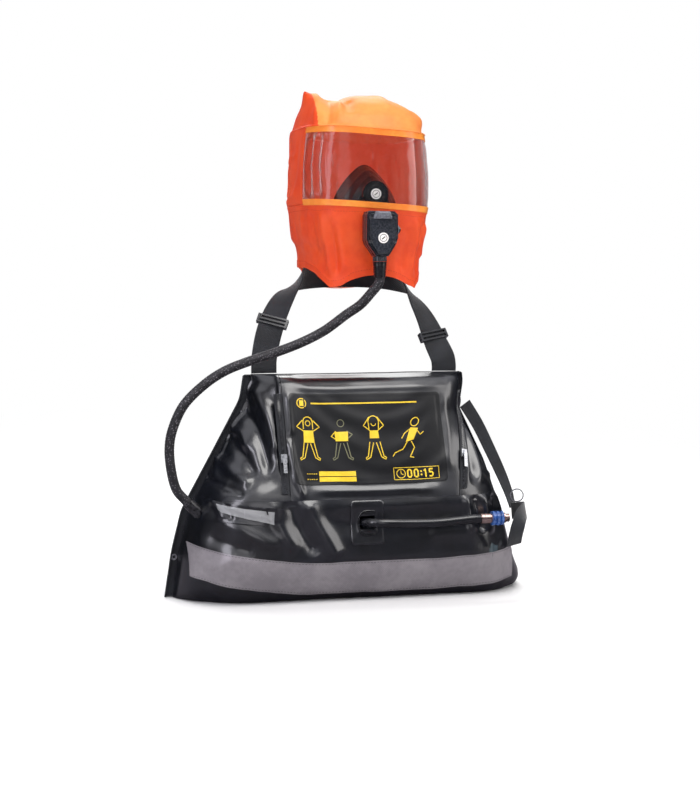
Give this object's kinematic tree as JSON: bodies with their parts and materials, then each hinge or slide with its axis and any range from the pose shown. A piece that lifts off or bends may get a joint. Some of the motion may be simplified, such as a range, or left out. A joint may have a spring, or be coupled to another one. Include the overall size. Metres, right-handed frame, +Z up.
{
  "type": "smoke hood",
  "caption": "Emergency escape breathing set: orange hood with a clear visor and half mask, demand valve, air hose and a black chest bag.",
  "frame": {"origin": "in the plane of the bag's back face, at the bottom of the bag, under the neck axis", "axes": "+Z up, -Y to the front, +X to the wearer's left"},
  "size_m": [0.552, 0.3368, 0.733],
  "materials": {
    "hood_fabric": "satin",
    "visor_film": "clear",
    "bag_fabric": "gloss",
    "label_film": "gloss",
    "reflective_tape": "satin",
    "webbing": "matt",
    "black_rubber": "satin",
    "seal_rubber": "matt",
    "case_plastic": "satin",
    "pale_badge": "gloss",
    "steel": "satin",
    "bright_metal": "polished",
    "brass": "satin",
    "cylinder_paint": "satin",
    "braid_hose": "matt",
    "blue_collar": "gloss",
    "knob_plastic": "satin",
    "foam_pad": "matt",
    "red_paint": "satin"
  },
  "bodies": {
    "root": {"bag_back_panel": "bag_fabric", "back_pad": "foam_pad", "bag_front_lower": "bag_fabric", "bag_side_right": "bag_fabric", "bag_side_left": "bag_fabric", "zip_tapes": "webbing", "reflective_strip": "reflective_tape", "hose_patch": "bag_fabric", "vent_eyelet": "steel", "hose_grommet": "black_rubber", "air_cylinder": "cylinder_paint", "cylinder_bands": "webbing", "reducer_body": "brass", "reducer_cap": "steel", "reducer_spring": "steel", "pressure_gauge": "steel", "airline_hose": "braid_hose", "airline_coupling": "bright_metal", "neck_strap": "webbing", "strap_adjusters": "case_plastic", "side_strap": "webbing", "coupling_tab": "webbing", "gauge_window": "bag_fabric", "supply_hose": "braid_hose"},
    "hood": {"hood_crown": "hood_fabric", "hood_back": "hood_fabric", "hood_skirt": "hood_fabric", "visor": "visor_film", "neck_seal": "seal_rubber", "half_mask": "black_rubber", "mask_insert": "case_plastic", "head_strap": "webbing", "head_strap_clips": "case_plastic", "port_clamp_ring": "case_plastic", "exhale_housing": "case_plastic", "exhale_badge": "pale_badge", "exhale_spring": "steel", "valve_case_rear": "case_plastic", "valve_case_front": "case_plastic", "case_screws": "steel", "poppet_spring": "steel", "hose_boot": "black_rubber"},
    "swivel_nut": {"hose_swivel_nut": "case_plastic"},
    "exhale_flap": {"exhale_disc": "seal_rubber"},
    "inhale_flap": {"inhale_disc": "seal_rubber"},
    "purge": {"purge_button": "pale_badge"},
    "membrane": {"diaphragm": "seal_rubber"},
    "lever": {"tilt_lever": "steel"},
    "poppet": {"inlet_poppet": "brass"},
    "bypass": {"bypass_button": "case_plastic"},
    "flap": {"flap_panel": "bag_fabric", "instruction_label": "label_film"},
    "slider_right": {"zip_slider_right": "steel"},
    "slider_left": {"zip_slider_left": "steel"},
    "piston": {"reducer_piston": "steel"},
    "knob": {"valve_knob": "knob_plastic"},
    "pin": {"fire_pin": "steel"},
    "needle": {"gauge_needle": "red_paint"},
    "sleeve": {"coupling_sleeve": "blue_collar"},
    "ring": {"split_ring": "steel"}
  },
  "joints": [
    {"name": "head_turn", "type": "hinge", "parent": "root", "child": "hood", "pos_m": [0, 0.06, 0.56], "axis": [0, 0, 1], "range_deg": [-30, 30], "deforming": ["supply_hose", "neck_strap"]},
    {"name": "nut_spin", "type": "hinge", "parent": "hood", "child": "swivel_nut", "pos_m": [0, -0.079, 0.488], "axis": [0, 0, 1], "continuous": true},
    {"name": "exhale_lift", "type": "slide", "parent": "hood", "child": "exhale_flap", "axis": [0, -1, 0], "range_m": [0, 0.0015], "deforming": ["exhale_spring"]},
    {"name": "inhale_lift", "type": "slide", "parent": "hood", "child": "inhale_flap", "axis": [0, 1, 0], "range_m": [0, 0.0015]},
    {"name": "purge_press", "type": "slide", "parent": "hood", "child": "purge", "axis": [0, 1, 0], "range_m": [0, 0.0012]},
    {"name": "membrane_move", "type": "slide", "parent": "hood", "child": "membrane", "axis": [0, 1, 0], "range_m": [0, 0.0022]},
    {"name": "lever_tilt", "type": "hinge", "parent": "hood", "child": "lever", "pos_m": [0, -0.0846, 0.507], "axis": [-1, 0, 0], "range_deg": [0, 10.5]},
    {"name": "poppet_open", "type": "slide", "parent": "hood", "child": "poppet", "axis": [0, 0, -1], "range_m": [0, 0.001], "deforming": ["poppet_spring"]},
    {"name": "bypass_press", "type": "slide", "parent": "hood", "child": "bypass", "axis": [-1, 0, 0], "range_m": [0, 0.0015]},
    {"name": "flap_open", "type": "hinge", "parent": "root", "child": "flap", "pos_m": [-0.01, -0.1115, 0.1498], "axis": [1, 0, 0], "range_deg": [0, 140]},
    {"name": "zip_right", "type": "slide", "parent": "root", "child": "slider_right", "axis": [0, 0.3316, 0.9434], "range_m": [-0.035, 0.055]},
    {"name": "zip_left", "type": "slide", "parent": "root", "child": "slider_left", "axis": [0.1181, 0.4441, 0.8882], "range_m": [-0.035, 0.035]},
    {"name": "piston_move", "type": "slide", "parent": "root", "child": "piston", "axis": [-1, 0, 0], "range_m": [0, 0.001], "deforming": ["reducer_spring"]},
    {"name": "knob_turn", "type": "hinge", "parent": "root", "child": "knob", "pos_m": [-0.221, -0.062, 0.093], "axis": [0, 0, 1], "range_deg": [0, 270]},
    {"name": "pin_pull", "type": "slide", "parent": "root", "child": "pin", "axis": [0, 0, 1], "range_m": [0, 0.018]},
    {"name": "needle_turn", "type": "hinge", "parent": "root", "child": "needle", "pos_m": [-0.203, -0.0925, 0.122], "axis": [0, -1, 0], "range_deg": [-120, 120]},
    {"name": "sleeve_slide", "type": "slide", "parent": "root", "child": "sleeve", "axis": [-1, 0, 0], "range_m": [0, 0.0022]},
    {"name": "ring_swing", "type": "hinge", "parent": "root", "child": "ring", "pos_m": [0.206, -0.092, 0.134], "axis": [0.9511, -0.309, 0], "range_deg": [-40, 40]}
  ],
  "couplings": [
    {"joint": "membrane_move", "follows": "purge_press", "ratio": 1},
    {"joint": "lever_tilt", "follows": "purge_press", "rad_per_m": 76},
    {"joint": "poppet_open", "follows": "purge_press", "ratio": 0.4}
  ]
}
